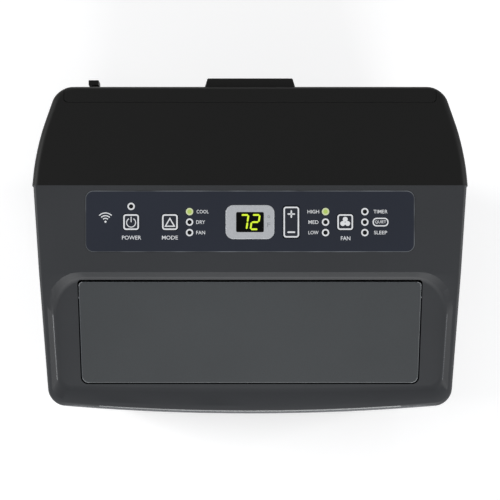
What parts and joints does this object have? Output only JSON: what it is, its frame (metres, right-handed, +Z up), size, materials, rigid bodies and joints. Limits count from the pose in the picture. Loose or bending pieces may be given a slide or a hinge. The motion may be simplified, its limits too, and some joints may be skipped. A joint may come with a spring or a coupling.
{
  "type": "portable air conditioner",
  "caption": "Free-standing room air conditioner on casters, with a motorised outlet flap on top, a key panel, a rear filter cover and an exhaust hose collar.",
  "frame": {"origin": "on the floor, under the middle of the whole object's box", "axes": "+X to the user's right, -Y towards the user at the front, +Z up"},
  "size_m": [0.434, 0.352, 0.7],
  "materials": {
    "front_shell": "moulded ABS, fine texture",
    "rear_shell": "moulded ABS, fine texture",
    "flap": "moulded ABS, satin",
    "overlay": "satin printed film",
    "key": "satin",
    "bezel": "metallic silver paint on ABS",
    "smoked_window": "polished smoked acrylic",
    "display": "glossy",
    "light_pipe": "clear acrylic",
    "inner_plastic": "moulded",
    "foam_board": "moulded polystyrene",
    "circuit_board": "solder mask",
    "fin_aluminium": "bare fin stock",
    "copper": "drawn copper tube",
    "plated_steel": "zinc plated",
    "motor_steel": "grey enamel",
    "compressor_black": "gloss black enamel",
    "rubber": "moulded",
    "caster_nylon": "moulded nylon"
  },
  "bodies": {
    "housing": {"base_pan": "rear_shell", "front_shell": "front_shell", "rear_shell": "rear_shell", "lower_grille": "rear_shell", "flap_motor": "plated_steel", "outlet_duct": "inner_plastic", "control_overlay": "overlay", "display_bezel": "bezel", "display_window": "smoked_window", "display_module": "display", "indicator_leds": "light_pipe", "control_board": "circuit_board", "control_tray": "inner_plastic", "evaporator_coil": "fin_aluminium", "evap_blower_motor": "motor_steel", "evap_scroll": "inner_plastic", "condenser_coil": "fin_aluminium", "cond_blower_motor": "motor_steel", "cond_scroll": "inner_plastic", "compressor": "compressor_black", "accumulator": "compressor_black", "compressor_mounts": "rubber", "refrigerant_pipes": "copper", "electrical_box": "plated_steel", "air_partition": "foam_board", "drain_pan": "foam_board", "exhaust_duct": "inner_plastic", "exhaust_collar": "rear_shell", "cord_hooks": "rear_shell", "cord_gland": "rubber", "case_screws": "plated_steel", "handle_left": "front_shell", "handle_right": "front_shell"},
    "flap": {"louver_flap": "flap", "flap_liner": "inner_plastic", "flap_shaft": "plated_steel"},
    "vane_1": {"vane_1": "inner_plastic"},
    "vane_2": {"vane_2": "inner_plastic"},
    "vane_3": {"vane_3": "inner_plastic"},
    "vane_4": {"vane_4": "inner_plastic"},
    "vane_5": {"vane_5": "inner_plastic"},
    "vane_link": {"vane_link": "inner_plastic"},
    "power_key": {"power_key": "key"},
    "mode_key": {"mode_key": "key"},
    "temp_rocker": {"temp_rocker": "key"},
    "fan_key": {"fan_key": "key"},
    "evap_blower_wheel": {"evap_blower_wheel": "inner_plastic"},
    "cond_blower_wheel": {"cond_blower_wheel": "inner_plastic"},
    "rear_cover": {"upper_grille": "rear_shell", "filter_frame": "inner_plastic"},
    "upper_drain_cap": {"upper_drain_cap": "rubber"},
    "lower_drain_cap": {"lower_drain_cap": "rubber"},
    "caster_1": {"caster_frame_1": "caster_nylon"},
    "caster_2": {"caster_frame_2": "caster_nylon"},
    "caster_3": {"caster_frame_3": "caster_nylon"},
    "caster_4": {"caster_frame_4": "caster_nylon"},
    "caster_wheels_1": {"caster_wheels_1": "caster_nylon"},
    "caster_wheels_2": {"caster_wheels_2": "caster_nylon"},
    "caster_wheels_3": {"caster_wheels_3": "caster_nylon"},
    "caster_wheels_4": {"caster_wheels_4": "caster_nylon"}
  },
  "joints": [
    {"name": "flap_hinge", "type": "hinge", "parent": "housing", "child": "flap", "pos_m": [0, -0.0584, 0.67042], "axis": [-1, 0, 0], "range_deg": [0, 50]},
    {"name": "vane_1_pivot", "type": "hinge", "parent": "housing", "child": "vane_1", "pos_m": [-0.1205, -0.09, 0.64], "axis": [0, 1, 0], "range_deg": [-25, 25]},
    {"name": "vane_2_pivot", "type": "hinge", "parent": "housing", "child": "vane_2", "pos_m": [-0.06025, -0.09, 0.64], "axis": [0, 1, 0], "range_deg": [-25, 25]},
    {"name": "vane_3_pivot", "type": "hinge", "parent": "housing", "child": "vane_3", "pos_m": [0, -0.09, 0.64], "axis": [0, 1, 0], "range_deg": [-25, 25]},
    {"name": "vane_4_pivot", "type": "hinge", "parent": "housing", "child": "vane_4", "pos_m": [0.06025, -0.09, 0.64], "axis": [0, 1, 0], "range_deg": [-25, 25]},
    {"name": "vane_5_pivot", "type": "hinge", "parent": "housing", "child": "vane_5", "pos_m": [0.1205, -0.09, 0.64], "axis": [0, 1, 0], "range_deg": [-25, 25]},
    {"name": "vane_link_slide", "type": "slide", "parent": "housing", "child": "vane_link", "axis": [1, 0, 0], "range_m": [-0.00436, 0.00436]},
    {"name": "power_key_press", "type": "slide", "parent": "housing", "child": "power_key", "axis": [0, 0.0872, -0.9962], "range_m": [0, 0.0008], "stiffness_N_per_m": 600, "springref_m": -0.0006},
    {"name": "mode_key_press", "type": "slide", "parent": "housing", "child": "mode_key", "axis": [0, 0.0872, -0.9962], "range_m": [0, 0.0008], "stiffness_N_per_m": 600, "springref_m": -0.0006},
    {"name": "fan_key_press", "type": "slide", "parent": "housing", "child": "fan_key", "axis": [0, 0.0872, -0.9962], "range_m": [0, 0.0008], "stiffness_N_per_m": 600, "springref_m": -0.0006},
    {"name": "temp_rocker_tilt", "type": "hinge", "parent": "housing", "child": "temp_rocker", "pos_m": [0.041, 0.01408, 0.69184], "axis": [1, 0, 0], "range_deg": [-2.2, 2.2], "stiffness_Nm_per_rad": 0.4},
    {"name": "evap_blower_spin", "type": "hinge", "parent": "housing", "child": "evap_blower_wheel", "pos_m": [0, -0.0905, 0.49], "axis": [0, 1, 0], "continuous": true},
    {"name": "cond_blower_spin", "type": "hinge", "parent": "housing", "child": "cond_blower_wheel", "pos_m": [0.05, 0.055, 0.19], "axis": [0, 1, 0], "continuous": true},
    {"name": "rear_cover_tilt", "type": "hinge", "parent": "housing", "child": "rear_cover", "pos_m": [0, 0.15, 0.484], "axis": [-1, 0, 0], "range_deg": [0, 30]},
    {"name": "upper_drain_cap_pull", "type": "slide", "parent": "housing", "child": "upper_drain_cap", "axis": [0, 1, 0], "range_m": [0, 0.03]},
    {"name": "lower_drain_cap_pull", "type": "slide", "parent": "housing", "child": "lower_drain_cap", "axis": [0, 1, 0], "range_m": [0, 0.03]},
    {"name": "caster_1_swivel", "type": "hinge", "parent": "housing", "child": "caster_1", "pos_m": [-0.15, -0.115, 0.056], "axis": [0, 0, 1], "continuous": true},
    {"name": "caster_1_roll", "type": "hinge", "parent": "caster_1", "child": "caster_wheels_1", "pos_m": [-0.15, -0.101, 0.02], "axis": [1, 0, 0], "continuous": true},
    {"name": "caster_2_swivel", "type": "hinge", "parent": "housing", "child": "caster_2", "pos_m": [0.15, -0.115, 0.056], "axis": [0, 0, 1], "continuous": true},
    {"name": "caster_2_roll", "type": "hinge", "parent": "caster_2", "child": "caster_wheels_2", "pos_m": [0.15, -0.101, 0.02], "axis": [1, 0, 0], "continuous": true},
    {"name": "caster_3_swivel", "type": "hinge", "parent": "housing", "child": "caster_3", "pos_m": [-0.15, 0.098, 0.056], "axis": [0, 0, 1], "continuous": true},
    {"name": "caster_3_roll", "type": "hinge", "parent": "caster_3", "child": "caster_wheels_3", "pos_m": [-0.15, 0.112, 0.02], "axis": [1, 0, 0], "continuous": true},
    {"name": "caster_4_swivel", "type": "hinge", "parent": "housing", "child": "caster_4", "pos_m": [0.15, 0.098, 0.056], "axis": [0, 0, 1], "continuous": true},
    {"name": "caster_4_roll", "type": "hinge", "parent": "caster_4", "child": "caster_wheels_4", "pos_m": [0.15, 0.112, 0.02], "axis": [1, 0, 0], "continuous": true}
  ],
  "couplings": [
    {"joint": "vane_1_pivot", "follows": "vane_link_slide", "rad_per_m": -100},
    {"joint": "vane_2_pivot", "follows": "vane_link_slide", "rad_per_m": -100},
    {"joint": "vane_3_pivot", "follows": "vane_link_slide", "rad_per_m": -100},
    {"joint": "vane_4_pivot", "follows": "vane_link_slide", "rad_per_m": -100},
    {"joint": "vane_5_pivot", "follows": "vane_link_slide", "rad_per_m": -100}
  ]
}
